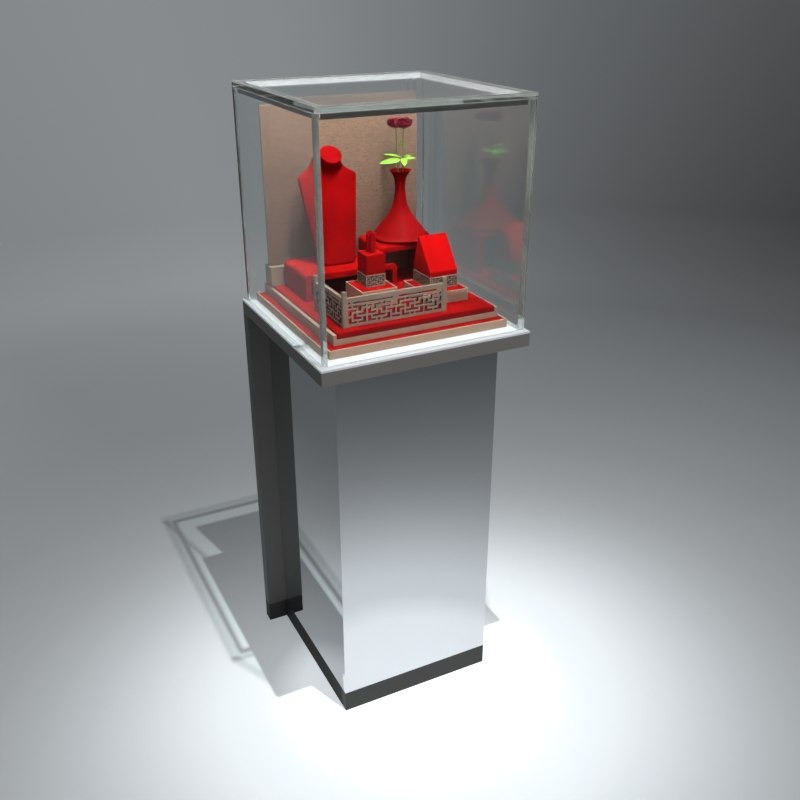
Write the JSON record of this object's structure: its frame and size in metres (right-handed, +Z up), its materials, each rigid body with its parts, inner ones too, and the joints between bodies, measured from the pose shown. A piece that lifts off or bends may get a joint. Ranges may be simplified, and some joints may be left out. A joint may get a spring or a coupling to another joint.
{
  "type": "jewelry display counter",
  "caption": "Square pedestal jewelry display counter: mirror-clad column, lit counter top, lift-off glass hood with light ring, two-tier platform with red velvet stands.",
  "frame": {"origin": "centre of the counter's square footprint, on the floor", "axes": "+Z up, -Y towards the customer, +X to the customer's right"},
  "size_m": [0.5, 0.5, 1.46],
  "materials": {
    "bronze_lacquer": "dark bronze metallic lacquer on board, satin",
    "opal_acrylic": "opal white, lit from behind",
    "circuit_board": "white light-strip board with yellow chips",
    "gilt_brass": "gilt contact pin",
    "board": "raw board",
    "zinc_steel": "zinc-plated",
    "mirror_steel": "mirror-polished stainless sheet",
    "driver_case": "light grey moulded case",
    "black_plastic": "black moulded plastic",
    "beige_suede": "board wrapped in beige suede cloth",
    "red_velvet_pad": "red velvet over a firm pad",
    "red_velvet_board": "board wrapped in red velvet",
    "linen_board": "board wrapped in warm linen weave",
    "beige_lacquer": "beige lacquer, satin",
    "clear_glass": "clear float glass with polished green edges",
    "dark_aluminium": "dark anodised",
    "bare_aluminium": "bare metal tape",
    "lock_chrome": "polished",
    "red_glaze": "red glaze, soft gloss",
    "rose_petal": "dark red cloth petals",
    "rose_stem": "green wire and leaf"
  },
  "bodies": {
    "cabinet": {"counter_top": "bronze_lacquer", "opal_sheet": "opal_acrylic", "led_boards": "circuit_board", "contact_pins": "gilt_brass", "back_panel": "bronze_lacquer", "plinth_front": "bronze_lacquer", "plinth_sides": "bronze_lacquer", "plinth_rear": "bronze_lacquer", "base_deck": "board", "foot_plates": "zinc_steel", "column_front_board": "board", "column_side_boards": "board", "column_skin": "mirror_steel", "led_driver": "driver_case", "power_inlet": "black_plastic", "hinge_frame_leaves": "zinc_steel", "hinge_pins": "zinc_steel", "tier1_tray": "beige_suede", "tier1_pad": "red_velvet_pad", "tier2_tray": "beige_suede", "tier2_pad": "red_velvet_pad", "backdrop_base": "beige_suede", "backdrop_board": "linen_board", "riser_left": "red_velvet_board", "riser_back": "red_velvet_board", "bracelet_hoop": "red_velvet_board", "tile_left": "beige_suede", "tile_left_pad": "red_velvet_pad", "tile_right": "beige_suede", "tile_right_pad": "red_velvet_pad", "fence_front": "beige_lacquer", "fence_side": "beige_lacquer", "fence_posts": "beige_lacquer"},
    "hood": {"glass_front": "clear_glass", "glass_back": "clear_glass", "glass_left": "clear_glass", "glass_right": "clear_glass", "glass_top": "clear_glass", "led_profiles": "dark_aluminium", "led_diffusers": "opal_acrylic", "hood_conductors": "bare_aluminium"},
    "door": {"service_door": "bronze_lacquer", "hinge_door_leaves": "zinc_steel", "lock_body": "lock_chrome"},
    "lock": {"lock_plug": "lock_chrome"},
    "switch": {"switch_rocker": "black_plastic"},
    "levelling_foot_front_left": {"foot_front_left": "zinc_steel"},
    "levelling_foot_front_right": {"foot_front_right": "zinc_steel"},
    "levelling_foot_rear_left": {"foot_rear_left": "zinc_steel"},
    "levelling_foot_rear_right": {"foot_rear_right": "zinc_steel"},
    "necklace_bust": {"bust": "red_velvet_board"},
    "rose_vase": {"vase": "red_glaze", "rose_blooms": "rose_petal", "rose_stems": "rose_stem"},
    "ring_stand": {"ring_fret_base": "beige_lacquer", "ring_block": "red_velvet_board", "ring_clip": "red_velvet_board"},
    "slanted_stand": {"slant_fret_base": "beige_lacquer", "slant_block": "red_velvet_board"}
  },
  "joints": [
    {"name": "hood_lift", "type": "slide", "parent": "cabinet", "child": "hood", "axis": [0, 0, 1], "range_m": [0, 0.48]},
    {"name": "door_hinge", "type": "hinge", "parent": "cabinet", "child": "door", "pos_m": [-0.1585, 0.246, 0.5], "axis": [0, 0, 1], "range_deg": [0, 100]},
    {"name": "lock_turn", "type": "hinge", "parent": "door", "child": "lock", "pos_m": [0.135, 0.246, 0.5], "axis": [0, -1, 0], "range_deg": [0, 90]},
    {"name": "switch_rock", "type": "hinge", "parent": "cabinet", "child": "switch", "pos_m": [0.128, 0.245, 0.104], "axis": [-1, 0, 0], "range_deg": [0, 16]},
    {"name": "foot_screw_front_left", "type": "slide", "parent": "cabinet", "child": "levelling_foot_front_left", "axis": [0, 0, 1], "range_m": [-0.012, 0]},
    {"name": "foot_screw_front_right", "type": "slide", "parent": "cabinet", "child": "levelling_foot_front_right", "axis": [0, 0, 1], "range_m": [-0.012, 0]},
    {"name": "foot_screw_rear_left", "type": "slide", "parent": "cabinet", "child": "levelling_foot_rear_left", "axis": [0, 0, 1], "range_m": [-0.012, 0]},
    {"name": "foot_screw_rear_right", "type": "slide", "parent": "cabinet", "child": "levelling_foot_rear_right", "axis": [0, 0, 1], "range_m": [-0.012, 0]},
    {"name": "bust_lift", "type": "slide", "parent": "cabinet", "child": "necklace_bust", "axis": [0, 0, 1], "range_m": [0, 0.1]},
    {"name": "vase_lift", "type": "slide", "parent": "cabinet", "child": "rose_vase", "axis": [0, 0, 1], "range_m": [0, 0.04]},
    {"name": "ring_stand_lift", "type": "slide", "parent": "cabinet", "child": "ring_stand", "axis": [0, 0, 1], "range_m": [0, 0.2]},
    {"name": "slanted_stand_lift", "type": "slide", "parent": "cabinet", "child": "slanted_stand", "axis": [0, 0, 1], "range_m": [0, 0.2]}
  ]
}
